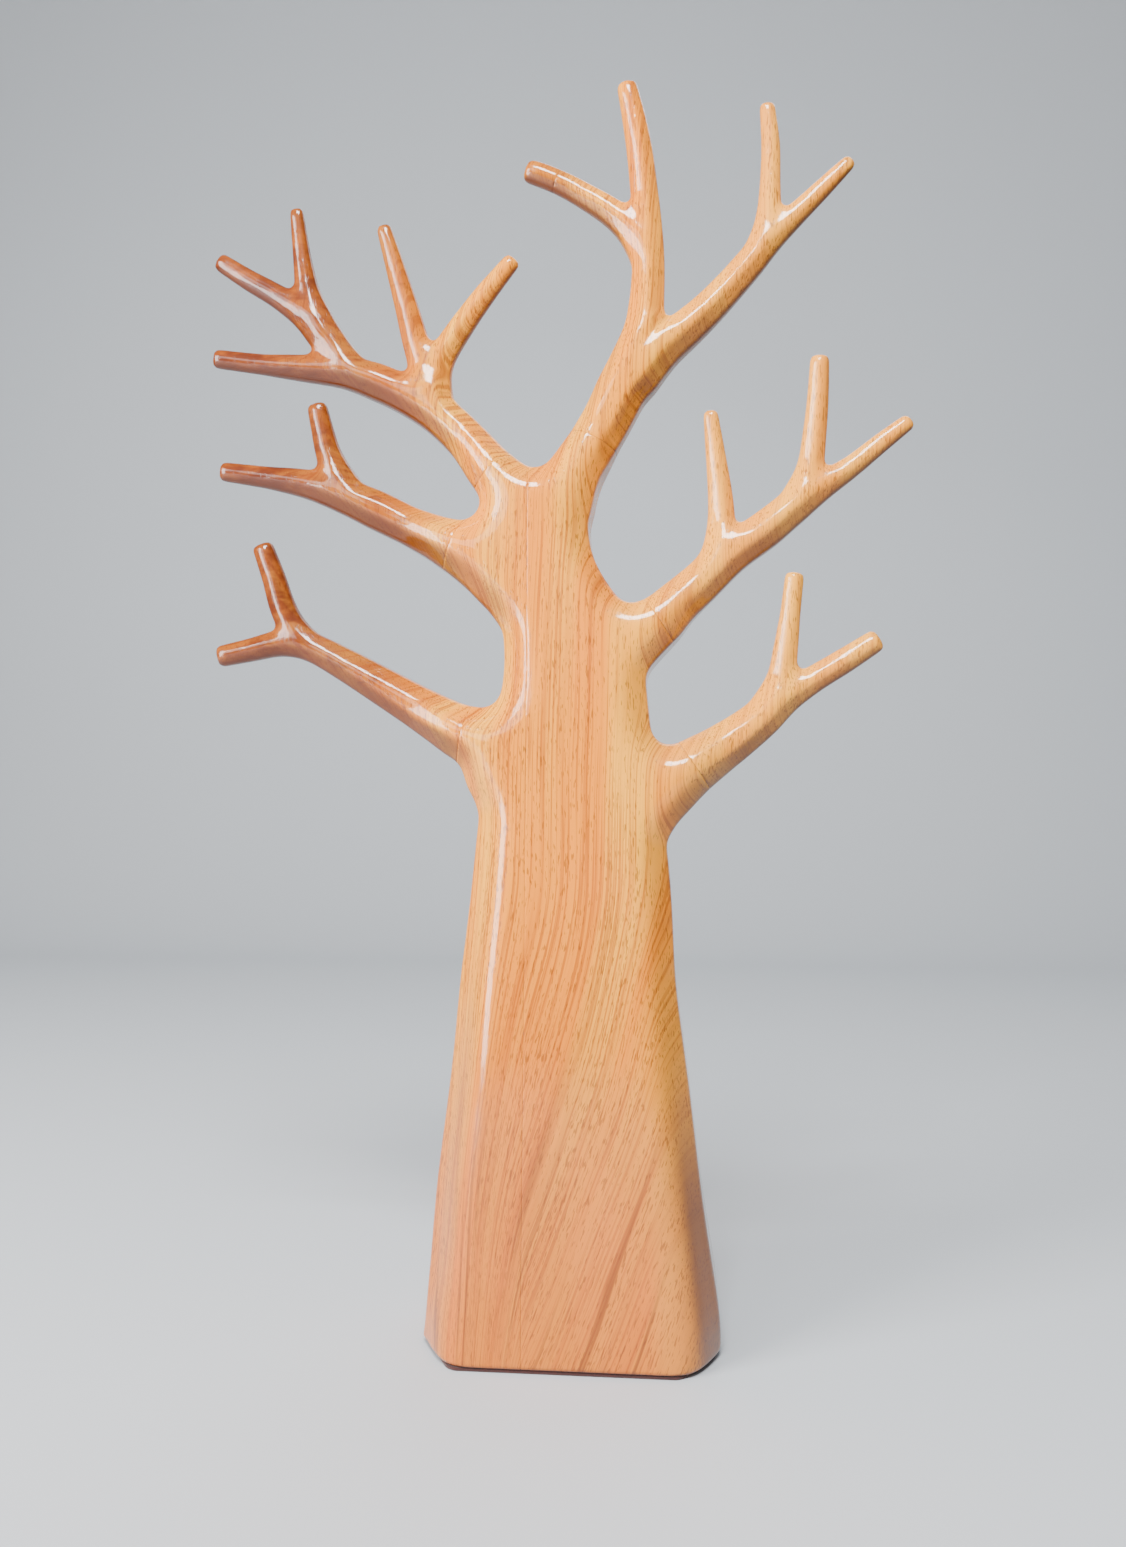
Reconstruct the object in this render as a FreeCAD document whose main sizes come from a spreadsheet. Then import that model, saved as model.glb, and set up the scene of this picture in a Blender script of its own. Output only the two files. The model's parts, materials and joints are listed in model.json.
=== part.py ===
import FreeCAD, Part
import math
import os
import Sketcher

# Carved wooden display tree, in millimetres.
#
# The trunk is two boards glued edge to edge.  Six forked limbs are glued to it, each
# on a flat cut and on two hidden dowels, because the grain is short there.  One twig
# of the top limb has a mended tip on a pin.  A thin felt pad covers the foot.
#
# +Z is up, X runs across the tree and -Y is its front.  The origin is the middle of
# the flat face that the tree stands on.

Vector = FreeCAD.Vector
os.makedirs("parts", exist_ok=True)
doc = FreeCAD.newDocument("carved_tree")

# ---------------------------------------------------------------- driving sizes
SIZES = [
    ("tree_height", 549, "full height, pad included"),
    ("drawn_height", 549, "height that the limb routes below are drawn for"),
    ("base_width", 128, "foot of the trunk, left to right"),
    ("base_depth", 80, "foot of the trunk, front to back"),
    ("crown_depth", 34, "top of the trunk, front to back"),
    ("stoutness", 1, "how thick the limbs are against the routes below"),
    ("twig_width", 8.5, "a twig's usual width at its sawn end"),
    ("slab_gain", 0.3, "how much deeper than wide a thick limb is"),
    ("side_flat", 0.4, "share of a limb's depth left flat between its bevels"),
    ("bevel_share", 0.1, "width of the trunk's bevel against the trunk's width"),
    ("bevel_extra", 3, "added to that bevel"),
    ("bevel_depth", 0.36, "depth of the bevel against the trunk's depth"),
    ("board_joint", -18, "where the two trunk boards meet, along X"),
    ("dowel_bore", 6, "diameter of a dowel and its bore"),
    ("dowel_reach", 10, "how far a dowel goes into each piece"),
    ("dowel_apart", 12, "between the two dowels of a limb"),
    ("bore_spare", 1, "glue room past a dowel's end"),
    ("dowel_edge", 0.6, "chamfer on a dowel's ends"),
    ("pin_bore", 2.5, "diameter of the pin in the mended tip"),
    ("pin_reach", 5, "how far that pin goes into each side"),
    ("pad_thick", 1.5, "felt pad"),
    ("pad_inset", 1.5, "wood that shows round the pad"),
    ("waste_side", 200, "how far sideways the other board is cut away"),
    ("waste_below", 20, "how far below the foot that cut starts"),
    ("waste_above", 600, "how high that cut goes"),
    ("waste_deep", 300, "how far that cut goes, front to back"),
]

sheet = doc.addObject("Spreadsheet::Sheet", "Sizes")
for row, (alias, value, note) in enumerate(SIZES, start=1):
    sheet.set(f"A{row}", note)
    sheet.set(f"B{row}", str(value))
    sheet.setAlias(f"B{row}", alias)
doc.recompute()

# The sheet's numbers, used to draw each sketch close to its solved shape.
DRAWN = {alias: value for alias, value, _ in SIZES}

GROWTH = "Sizes.tree_height / Sizes.drawn_height"

# ---------------------------------------------------------------- routes
# A route is a list of sections from the inside of the tree outwards.  Each section is
# (x, z, width), in the plane y = 0, and may add the lean of its plane in degrees from
# straight up, towards +X.  Where no lean is given, the section faces along the route.

TRUNK = [  # z, middle x, width, share of the way from base_depth to crown_depth
    (DRAWN["pad_thick"], 0, DRAWN["base_width"], 0.0),
    (40, 0.3, 120.5, 0.10),
    (83, -0.8, 110.5, 0.24),
    (128, -0.8, 99.5, 0.40),
    (172, -0.8, 90.5, 0.56),
    (216, 0, 82.5, 0.70),
    (250, 0, 73, 0.78),
    (285, 1.4, 62.3, 0.85),
    (305, 0, 59, 0.89),
    (326, -8, 50, 0.93),
    (348, -14.5, 45, 0.97),
    (370, -15, 36, 1.0),
]

LIMBS = {
    "upper_left_limb": {
        "root": [(-16, 348, 32, -20), (-25, 366, 27, -35), (-34.5, 377.5, 21.8, -45)],
        "twigs": {
            "outer": [
                (-34.5, 377.5, 21.8, -45), (-46, 392, 18.2), (-59.2, 404.5, 17.4),
                (-72.8, 413.1, 16.4), (-87.6, 420.2, 16), (-102, 424.6, 13.4), (-119, 427, 11.8),
                (-138, 429.3, 9.2), (-162, 432.9, 8.4),
            ],
            "rising": [
                (-89, 420, 12, -60), (-99.5, 427.5, 13.5), (-107.9, 438.5, 13.6),
                (-113.5, 448.5, 13), (-118.5, 461, 10.8), (-121.3, 477, 8.2), (-124, 499.2, 6.4),
            ],
            "far": [
                (-111, 440, 14, -42), (-120.4, 450.8, 12.2), (-132.8, 460, 10.3),
                (-145.5, 467.5, 9.3), (-160, 477, 8.1),
            ],
            "spike": [
                (-56, 402, 13, -55), (-63.5, 412, 13.5), (-66.5, 426, 12.5), (-70.1, 439, 11.8),
                (-73.5, 452, 10.6), (-79.2, 472, 8.7), (-84.5, 490, 6.8),
            ],
            "inner": [
                (-55, 401, 13, -45), (-60, 415, 13.5, -5), (-57.3, 431, 11.9, 30),
                (-48.7, 444, 10.8), (-37.6, 458.6, 9.4), (-25.5, 472.8, 7.6),
            ],
        },
    },
    "middle_left_limb": {
        "root": [
            (-14, 318, 38, -42), (-32, 335, 33, -58), (-43, 341.5, 27.5, -65),
            (-51.5, 345.5, 23, -66),
        ],
        "twigs": {
            "outer": [
                (-51.5, 345.5, 23, -66), (-60.8, 350, 19.3), (-72.6, 355.6, 17), (-87.2, 362.9, 17.4),
                (-104.2, 370.4, 15.2), (-119, 375.3, 12.8), (-137, 378.6, 9.8), (-158.9, 382, 8.6),
            ],
            "rising": [
                (-94.5, 366.5, 15, -60), (-103.8, 376.8, 14.4), (-109.3, 389, 11.3),
                (-112, 399.5, 10), (-114.7, 411.2, 8.9),
            ],
        },
    },
    "lower_left_limb": {
        "root": [(-19, 234, 48, -40), (-36, 254.5, 35, -58), (-46.5, 263, 25, -76)],
        "twigs": {
            "outer": [
                (-46.5, 263, 25, -76), (-57, 268.5, 21.5), (-70, 276, 18.8), (-86.5, 285.7, 16.6),
                (-104, 295.7, 14.3), (-118, 302.6, 13), (-131, 304.2, 12), (-144, 301.5, 10.6),
                (-160.1, 298.3, 9.6),
            ],
            "rising": [
                (-113, 301, 11, -60), (-124, 309.5, 12.5), (-130, 320, 11.8), (-134.2, 333.5, 10.6),
                (-139.8, 348.8, 9.4),
            ],
        },
    },
    "top_limb": {
        "root": [(-8, 348, 30, 5), (-1, 371, 24.7, 14), (9.7, 390, 21.5, 27)],
        "twigs": {
            "upright": [
                (9.7, 390, 21.5, 27), (15.7, 400.5, 21.5), (21.7, 412.7, 22.3), (27.7, 426, 20.8),
                (31.5, 440, 16.8), (33, 455, 15), (33.5, 470, 14.1), (33, 485, 12.8),
                (31.5, 500.5, 12.2), (29.8, 516, 11.6), (27.2, 531.5, 10.5), (23.7, 547.8, 8.7),
            ],
            "mended": [
                (33.5, 462, 12, -5), (28.7, 478, 13), (20, 489, 12), (7, 498, 10.6),
                (-6.5, 505.8, 10, -65),
            ],
            "sweeping": [
                (18, 406, 19.5, 30), (28.9, 419.1, 20.4), (39.5, 430.5, 17.6), (49.5, 438.7, 16),
                (59.1, 447.2, 14.5), (68.8, 457.2, 13.5), (78, 467.5, 13), (86.3, 476.8, 11.4),
                (96.3, 486.4, 9.7), (107.8, 497.3, 8.4), (121, 510, 6.4),
            ],
            "offshoot": [
                (75, 465, 10.5, 40), (82, 476, 11), (85.3, 488.5, 10.3), (86, 502, 9),
                (86.2, 518, 8.3), (84.6, 536, 7),
            ],
        },
    },
    "middle_right_limb": {
        "root": [(9, 287, 40, 42), (25.8, 302.8, 28.9, 52), (38, 311, 22.4, 56)],
        "twigs": {
            "outer": [
                (38, 311, 22.4, 56), (45.9, 319.2, 19.4), (56, 328.3, 18.2), (69.2, 340.7, 17),
                (84.2, 351.2, 16.3), (97.2, 361.7, 15), (109, 370, 11.8), (120.7, 377.7, 9.5),
                (132.4, 387, 8.6), (145.8, 397.2, 7.2),
            ],
            "spike": [
                (55, 327, 13, 40), (62, 338.5, 13.5), (64.8, 352, 12.3), (64.7, 364.5, 11),
                (62.8, 382, 9), (60.2, 403.6, 6.6),
            ],
            "rising": [
                (90, 356, 12, 45), (98.5, 367.5, 12.5), (103, 378, 11.4), (104.7, 390, 10.4),
                (106.3, 406.7, 9.4), (107.2, 426, 8.2),
            ],
        },
    },
    "lower_right_limb": {
        "root": [
            (17, 219, 46, 38), (34, 236.3, 34.5, 48), (44.5, 243.2, 28.5, 53),
            (53.2, 248.9, 24, 56),
        ],
        "twigs": {
            "outer": [
                (53.2, 248.9, 24, 56), (64, 256, 20.8), (74.3, 263.2, 18.6),
                (83.5, 270.5, 17), (93.3, 279, 14), (105.2, 286.6, 11.6), (118.3, 294.5, 11),
                (132.3, 303.5, 9.8),
            ],
            "rising": [
                (76, 265, 12, 45), (85, 275.8, 14), (90.5, 287, 12), (92.4, 298, 10.9),
                (94.5, 314, 8.9), (96.6, 332.5, 8.3),
            ],
        },
    },
}

# The mended tip carries on from the cut end of the top limb's mended twig.
MENDED_TIP = [(-6.5, 505.8, 10, -65), (-13, 508.7, 10), (-20.4, 511.5, 9.6)]


SPAN_STEPS = 3      # lengths of straight-sided wood between two drawn sections


# ---------------------------------------------------------------- sketches
def origin_plane(body, role):
    """One of a body's own origin planes."""
    return next(f for f in body.Origin.OriginFeatures if f.Role == role)


def lay_out(route):
    """A route's sections as (x, z, width, lean), each facing along the route."""
    laid = []
    for i, section in enumerate(route):
        if len(section) == 4:
            laid.append(section)
            continue
        before = route[max(i - 1, 0)]
        after = route[min(i + 1, len(route) - 1)]
        lean = math.degrees(math.atan2(after[0] - before[0], after[1] - before[1]))
        laid.append((*section, lean))
    return laid


def between(start, end, share):
    """A section part of the way from one section to the next, on the smooth curve that
    leaves the first and reaches the second square to them."""
    x0, z0, width0, lean0 = start
    x1, z1, width1, lean1 = end
    span = math.hypot(x1 - x0, z1 - z0)
    keep = (1 + 2 * share) * (1 - share) ** 2
    leave = share * (1 - share) ** 2 * span
    reach = share ** 2 * (1 - share) * span
    turn0, turn1 = math.radians(lean0), math.radians(lean1)
    x = keep * x0 + (1 - keep) * x1 + leave * math.sin(turn0) - reach * math.sin(turn1)
    z = keep * z0 + (1 - keep) * z1 + leave * math.cos(turn0) - reach * math.cos(turn1)
    width = width0 + (width1 - width0) * share
    lean = lean0 + (lean1 - lean0) * share
    return round(x, 3), round(z, 3), round(width, 3), round(lean, 3)


def refined(laid):
    """The sections with more set between them, near enough for straight sides to join."""
    fine = [laid[0]]
    for start, end in zip(laid, laid[1:]):
        fine += [between(start, end, k / SPAN_STEPS) for k in range(1, SPAN_STEPS)]
        fine.append(end)
    return fine


def sketch_across(body, name, x, z, lean):
    """An empty sketch in body, square to a limb: its own x runs across the limb in
    the plane y = 0, its own y is the tree's +Y, and its normal points along the limb."""
    sketch = body.newObject("Sketcher::SketchObject", name)
    sketch.AttachmentSupport = [(origin_plane(body, "XY_Plane"), "")]
    sketch.MapMode = "FlatFace"
    turn = FreeCAD.Rotation(Vector(0, 1, 0), lean)
    sketch.AttachmentOffset = FreeCAD.Placement(Vector(x, 0, z), turn)
    sketch.setExpression(".AttachmentOffset.Base.x", f"{x} * {GROWTH}")
    sketch.setExpression(".AttachmentOffset.Base.z", f"{z} * {GROWTH}")
    return sketch


def close_polygon(sketch, points):
    """Joined straight lines through points.  Line i starts at point i."""
    count = len(points)
    for i, point in enumerate(points):
        follower = points[(i + 1) % count]
        sketch.addGeometry(Part.LineSegment(Vector(*point, 0), Vector(*follower, 0)))
    for i in range(count):
        sketch.addConstraint(Sketcher.Constraint("Coincident", i, 2, (i + 1) % count, 1))


def set_size(sketch, kind, line, guess, name, expression):
    """The distance from the sketch's origin to the start of a line, bound to the sheet."""
    index = sketch.addConstraint(Sketcher.Constraint(kind, -1, 1, line, 1, guess))
    sketch.renameConstraint(index, name)
    sketch.setExpression(f"Constraints.{name}", expression)


def limb_section(body, name, x, z, width, lean):
    """A six-sided limb section: an arris front and back, a narrow flat each side."""
    sketch = sketch_across(body, name, x, z, lean)
    half = width / 2
    thickened = width + DRAWN["slab_gain"] * (width - DRAWN["twig_width"])
    deep = min(thickened, DRAWN["crown_depth"]) / 2
    flat = DRAWN["side_flat"] * deep
    close_polygon(sketch, [
        (0, -deep), (half, -flat), (half, flat), (0, deep), (-half, flat), (-half, -flat),
    ])
    sketch.addConstraint([
        Sketcher.Constraint("PointOnObject", 3, 1, -2),
        Sketcher.Constraint("Symmetric", 0, 1, 3, 1, -1),
        Sketcher.Constraint("Symmetric", 1, 1, 5, 1, -2),
        Sketcher.Constraint("Symmetric", 2, 1, 4, 1, -2),
        Sketcher.Constraint("Symmetric", 1, 1, 2, 1, -1),
    ])
    wide = f"{width} * Sizes.stoutness * {GROWTH}"
    thick = f"min({wide} + Sizes.slab_gain * ({wide} - Sizes.twig_width); Sizes.crown_depth)"
    set_size(sketch, "DistanceX", 2, half, "half_width", f"{wide} / 2")
    set_size(sketch, "DistanceY", 2, flat, "half_flat", f"{thick} / 2 * Sizes.side_flat")
    set_size(sketch, "DistanceY", 3, deep, "half_depth", f"{thick} / 2")
    return sketch


def trunk_section(body, name, z, middle, width, rise):
    """A level eight-sided trunk section with a broad bevel at each corner."""
    sketch = sketch_across(body, name, middle, z, 0)
    depth = DRAWN["base_depth"] + rise * (DRAWN["crown_depth"] - DRAWN["base_depth"])
    bevel = DRAWN["bevel_extra"] + DRAWN["bevel_share"] * width
    half, front, face = width / 2, width / 2 - bevel, depth / 2
    side = depth * (0.5 - DRAWN["bevel_depth"])
    close_polygon(sketch, [
        (-front, -face), (front, -face), (half, -side), (half, side),
        (front, face), (-front, face), (-half, side), (-half, -side),
    ])
    for right, left in [(4, 5), (3, 6), (2, 7), (1, 0)]:
        sketch.addConstraint(Sketcher.Constraint("Symmetric", right, 1, left, 1, -2))
    sketch.addConstraint(Sketcher.Constraint("Symmetric", 3, 1, 2, 1, -1))
    sketch.addConstraint(Sketcher.Constraint("Symmetric", 4, 1, 1, 1, -1))
    wide = f"{width / DRAWN['base_width']} * Sizes.base_width"
    deep = f"(Sizes.base_depth + {rise} * (Sizes.crown_depth - Sizes.base_depth))"
    set_size(sketch, "DistanceX", 3, half, "half_width", f"{wide} / 2")
    set_size(sketch, "DistanceY", 3, side, "half_side", f"{deep} * (0.5 - Sizes.bevel_depth)")
    set_size(sketch, "DistanceX", 4, front, "half_front",
             f"{wide} * (0.5 - Sizes.bevel_share) - Sizes.bevel_extra")
    set_size(sketch, "DistanceY", 4, face, "half_depth", f"{deep} / 2")
    return sketch


def circle_pair(body, name, place, bore, apart):
    """Two round outlines across a limb, one towards the front and one towards the back."""
    sketch = sketch_across(body, name, *place)
    for side in (-1, 1):
        centre = Vector(0, side * DRAWN["dowel_apart"] / 2, 0)
        sketch.addGeometry(Part.Circle(centre, Vector(0, 0, 1), DRAWN["dowel_bore"] / 2))
    sketch.addConstraint(Sketcher.Constraint("PointOnObject", 0, 3, -2))
    sketch.addConstraint(Sketcher.Constraint("Symmetric", 0, 3, 1, 3, -1))
    sketch.addConstraint(Sketcher.Constraint("Equal", 0, 1))
    across = sketch.addConstraint(Sketcher.Constraint("Diameter", 0, DRAWN["dowel_bore"]))
    sketch.renameConstraint(across, "bore")
    sketch.setExpression("Constraints.bore", bore)
    between = sketch.addConstraint(
        Sketcher.Constraint("DistanceY", 0, 3, 1, 3, DRAWN["dowel_apart"])
    )
    sketch.renameConstraint(between, "apart")
    sketch.setExpression("Constraints.apart", apart)
    return sketch


def circle_outline(body, name, place, bore):
    """One round outline on the middle of a twig."""
    sketch = sketch_across(body, name, *place)
    sketch.addGeometry(Part.Circle(Vector(0, 0, 0), Vector(0, 0, 1), DRAWN["pin_bore"] / 2))
    sketch.addConstraint(Sketcher.Constraint("Coincident", 0, 3, -1, 1))
    across = sketch.addConstraint(Sketcher.Constraint("Diameter", 0, DRAWN["pin_bore"]))
    sketch.renameConstraint(across, "bore")
    sketch.setExpression("Constraints.bore", bore)
    return sketch


# ---------------------------------------------------------------- features
def new_body(label):
    body = doc.addObject("PartDesign::Body", label)
    body.Label = label
    body.AllowCompound = True
    return body


def loft(body, name, sections):
    """A smooth solid through sketches, added to the body."""
    feature = body.newObject("PartDesign::AdditiveLoft", name)
    feature.Profile = sections[0]
    feature.Sections = sections[1:]
    feature.Refine = False
    return feature


def loft_route(body, name, route):
    sections = [
        limb_section(body, f"{name}_{i}", *section)
        for i, section in enumerate(refined(lay_out(route)))
    ]
    feature = loft(body, f"{name}_wood", sections)
    feature.Ruled = True
    return feature


def drill(body, name, sketch, depth, outward):
    """A blind bore from a sketch: with the sketch's normal if outward, else against it."""
    pocket = body.newObject("PartDesign::Pocket", name)
    pocket.Profile = sketch
    pocket.Length = 1
    pocket.setExpression("Length", depth)
    pocket.Reversed = outward
    pocket.Refine = False
    return pocket


def glue_place(limb):
    """Where a limb is cut square and glued: (x, z, lean)."""
    x, z, _, lean = LIMBS[limb]["root"][-1]
    return x, z, lean


def seam_place():
    """Where the mended tip is glued on: (x, z, lean)."""
    x, z, _, lean = MENDED_TIP[0]
    return x, z, lean


DOWEL_DEPTH = "Sizes.dowel_reach + Sizes.bore_spare"
PIN_DEPTH = "Sizes.pin_reach + Sizes.bore_spare / 2"


# ---------------------------------------------------------------- pieces
def trunk_board(label, keeps_left):
    """One trunk board with the stubs of the limbs that are glued to it."""
    body = new_body(label)
    sections = [
        trunk_section(body, f"level_{i}", *level) for i, level in enumerate(TRUNK)
    ]
    sections[0].setExpression(".AttachmentOffset.Base.z", "Sizes.pad_thick")
    loft(body, "trunk_wood", sections)
    for limb in LIMBS:
        loft_route(body, f"{limb}_stub", LIMBS[limb]["root"])

    waste = body.newObject("Sketcher::SketchObject", "other_board")
    waste.AttachmentSupport = [(origin_plane(body, "XZ_Plane"), "")]
    waste.MapMode = "FlatFace"
    away = 1 if keeps_left else -1
    near, far = DRAWN["board_joint"], away * DRAWN["waste_side"]
    low, high = -DRAWN["waste_below"], DRAWN["waste_above"]
    close_polygon(waste, [(near, low), (far, low), (far, high), (near, high)])
    for line in (0, 2):
        waste.addConstraint(Sketcher.Constraint("Horizontal", line))
    for line in (1, 3):
        waste.addConstraint(Sketcher.Constraint("Vertical", line))
    set_size(waste, "DistanceX", 0, near, "joint", "Sizes.board_joint")
    set_size(waste, "DistanceY", 0, low, "below", "-Sizes.waste_below")
    set_size(waste, "DistanceX", 2, far, "beyond", f"{away} * Sizes.waste_side * {GROWTH}")
    set_size(waste, "DistanceY", 2, high, "above", f"Sizes.waste_above * {GROWTH}")
    cut = body.newObject("PartDesign::Pocket", "edge_joint")
    cut.Profile = waste
    cut.SideType = "Symmetric"
    cut.setExpression("Length", "Sizes.waste_deep")
    cut.Refine = False

    for limb in LIMBS:
        if limb.endswith("left_limb") == keeps_left:
            circles = circle_pair(body, f"{limb}_bores", glue_place(limb),
                                  "Sizes.dowel_bore", "Sizes.dowel_apart")
            drill(body, f"{limb}_drilling", circles, DOWEL_DEPTH, outward=False)
    return body


def forked_limb(label):
    """One limb with all its twigs, bored for its two dowels."""
    body = new_body(label)
    for name, route in LIMBS[label]["twigs"].items():
        loft_route(body, name, route)
    circles = circle_pair(body, "dowel_bores", glue_place(label),
                          "Sizes.dowel_bore", "Sizes.dowel_apart")
    drill(body, "dowel_drilling", circles, DOWEL_DEPTH, outward=True)
    if label == "top_limb":
        circle = circle_outline(body, "pin_hole", seam_place(), "Sizes.pin_bore")
        drill(body, "pin_drilling", circle, PIN_DEPTH, outward=False)
    return body


def limb_dowels(limb):
    """The two dowels that hold a limb."""
    body = new_body(f"{limb}_dowels")
    circles = circle_pair(body, "outline", glue_place(limb),
                          "Sizes.dowel_bore", "Sizes.dowel_apart")
    rods = body.newObject("PartDesign::Pad", "rods")
    rods.Profile = circles
    rods.SideType = "Symmetric"
    rods.setExpression("Length", "2 * Sizes.dowel_reach")
    doc.recompute()
    rims = [
        f"Edge{i}" for i, edge in enumerate(rods.Shape.Edges, start=1)
        if edge.Closed and isinstance(edge.Curve, Part.Circle)
    ]
    chamfer = body.newObject("PartDesign::Chamfer", "rims")
    chamfer.Base = (rods, rims)
    chamfer.setExpression("Size", "Sizes.dowel_edge")
    return body


def mended_twig_tip():
    body = new_body("mended_twig_tip")
    loft_route(body, "tip", MENDED_TIP)
    circle = circle_outline(body, "pin_hole", seam_place(), "Sizes.pin_bore")
    drill(body, "pin_drilling", circle, PIN_DEPTH, outward=True)
    return body


def tip_pin():
    body = new_body("tip_pin")
    rod = body.newObject("PartDesign::Pad", "rod")
    rod.Profile = circle_outline(body, "outline", seam_place(), "Sizes.pin_bore")
    rod.SideType = "Symmetric"
    rod.setExpression("Length", "2 * Sizes.pin_reach")
    return body


def felt_pad():
    """The pad under the foot, an eight-sided sheet like the foot itself."""
    body = new_body("felt_pad")
    sketch = trunk_section(body, "outline", 0, 0, DRAWN["base_width"], 0)
    sketch.setExpression("Constraints.half_width", "Sizes.base_width / 2 - Sizes.pad_inset")
    sketch.setExpression("Constraints.half_depth", "Sizes.base_depth / 2 - Sizes.pad_inset")
    pad = body.newObject("PartDesign::Pad", "sheet")
    pad.Profile = sketch
    pad.setExpression("Length", "Sizes.pad_thick")
    return body


pieces = [
    trunk_board("trunk_left_board", keeps_left=True),
    trunk_board("trunk_right_board", keeps_left=False),
]
pieces += [forked_limb(limb) for limb in LIMBS]
pieces += [limb_dowels(limb) for limb in LIMBS]
pieces += [mended_twig_tip(), tip_pin(), felt_pad()]
doc.recompute()

# ---------------------------------------------------------------- check and write
for item in doc.Objects:
    bad = [state for state in item.State if state in ("Invalid", "Error")]
    if bad:
        raise RuntimeError(f"{item.Name} did not build: {item.State}")
for piece in pieces:
    if piece.Shape.isNull() or not piece.Shape.isValid():
        raise RuntimeError(f"{piece.Label} has no valid shape")

for piece in pieces:
    piece.Shape.exportStep(f"parts/{piece.Label}.step")
    box = piece.Shape.BoundBox
    print(f"{piece.Label}: {len(piece.Shape.Solids)} solids, {piece.Shape.Volume / 1000:.1f} cm3, "
          f"x {box.XMin:.1f} to {box.XMax:.1f}, y {box.YMin:.1f} to {box.YMax:.1f}, "
          f"z {box.ZMin:.1f} to {box.ZMax:.1f}")
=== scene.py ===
import json
import math

import bmesh
import bpy
import numpy as np
import openvdb
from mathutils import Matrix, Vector


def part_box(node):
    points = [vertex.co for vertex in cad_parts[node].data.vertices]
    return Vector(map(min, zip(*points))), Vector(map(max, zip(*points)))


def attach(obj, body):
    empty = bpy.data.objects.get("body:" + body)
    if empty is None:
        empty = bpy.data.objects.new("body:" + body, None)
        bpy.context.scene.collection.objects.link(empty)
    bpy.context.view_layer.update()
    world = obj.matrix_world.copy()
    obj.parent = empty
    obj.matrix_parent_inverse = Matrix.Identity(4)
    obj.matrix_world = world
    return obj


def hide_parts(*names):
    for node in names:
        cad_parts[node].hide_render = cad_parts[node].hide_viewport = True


# A carved wooden tree under gloss varnish.  The wood is carved here as one shape, from
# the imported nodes, and then sawn apart at the glue joints into the same pieces.

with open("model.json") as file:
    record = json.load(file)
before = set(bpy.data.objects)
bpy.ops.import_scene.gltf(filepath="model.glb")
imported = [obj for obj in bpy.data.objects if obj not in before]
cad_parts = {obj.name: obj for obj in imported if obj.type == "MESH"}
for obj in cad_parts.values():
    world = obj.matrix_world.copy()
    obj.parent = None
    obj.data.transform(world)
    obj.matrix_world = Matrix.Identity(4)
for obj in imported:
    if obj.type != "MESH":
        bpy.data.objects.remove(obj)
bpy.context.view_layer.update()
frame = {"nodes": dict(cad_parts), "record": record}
NODES = frame["nodes"]

MM = 0.001
VOXEL = 1.0 * MM

LIMBS = [
    "upper_left_limb", "middle_left_limb", "lower_left_limb",
    "top_limb", "middle_right_limb", "lower_right_limb",
]
BOARDS = ["trunk_left_board", "trunk_right_board"]
BOARD_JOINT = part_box("trunk_left_board")[1].x
SLOT_OF = {entry["node"]: entry["material_slot"] for entry in frame["record"]["subparts"]}
SEAM_SINK = 0.10 * MM       # how far a glued edge is rubbed down
SEAM_GAP = 0.04 * MM        # glue line left on each side of a joint
TIP = "mended_twig_tip"
WOOD_NODES = BOARDS + LIMBS + [TIP]

FORK_FILLET = 1.0 * MM      # left by the gouge in the sharp forks of the twigs
CROTCH_FILLET = 7.0 * MM    # where the limbs leave the trunk
CROTCH_REACH = 48 * MM      # how far from a joint the crotch fillet ends
CROTCH_FADE = 14 * MM       # it turns into the fork fillet over this last stretch

CORE_RADIUS = 16 * MM       # wood thicker than this is trunk, thinner is limb
LIMB_FLOW = 30 * MM         # how far out the trunk's flat face runs into a limb
LIMB_REACH = 7 * MM         # over this far a limb's thickness is taken as one
LIMB_BEVEL = 6.3 * MM       # width of the bevel along each side of a limb
RIDGE_SHARE = 0.96          # the bevel of a thin twig, as a share of its half width
LIMB_EDGE_SHARE = 0.42      # how thick a limb's side stays, as a share of its middle

# The width of the bevels along the trunk, at four heights.
TRUNK_BEVEL = {0: 15.5 * MM, 170 * MM: 12 * MM, 250 * MM: 9.5 * MM, 370 * MM: 7 * MM}
TRUNK_EDGE_SHARE = 0.28     # how thick the trunk's side stays, as a share of its face
FACE_FOOT = 6 * MM          # below this the trunk's face gets no deeper
CROWN_HEIGHT = 345 * MM     # above this the trunk's face gets no shallower
FOOT_TOP = 20 * MM          # below this the bevel runs on as it is at this height
FOOT_ROUNDING = 55 * MM     # the corners of the foot are rounded up to this height
FOOT_ROUNDNESS = 0.85       # how near their bevels come to a quarter of an ellipse
RIGHT_ROUNDNESS = 0.9       # the same for the bevel along the trunk's right side
RIGHT_FADE = 20 * MM        # over this far across the middle the roundness sets in

LIMB_MAP_SOFTNESS = 3       # in voxels: how far a limb's own sizes are evened out
TRUNK_MAP_SOFTNESS = 4      # in voxels: the same for the depth of the trunk's face
ARRIS_SOFTNESS = 1.1        # in voxels: how far all the arrises are sanded down
LIMB_SOFTNESS = 0.8         # in voxels: how far the limbs' ridges are sanded first
TRUNK_SOFTNESS = 4.5        # in voxels: the same for the long arrises of the trunk
CARRY_STEPS = 16            # in voxels: how far the thickness runs on past the outline
STEEPEST = 2.0              # the steepest slope on the face that distances allow for
KNOWN_OUTSIDE = 10 * MM     # how far outside and inside the wood its distance is known
KNOWN_INSIDE = 22 * MM

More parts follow.
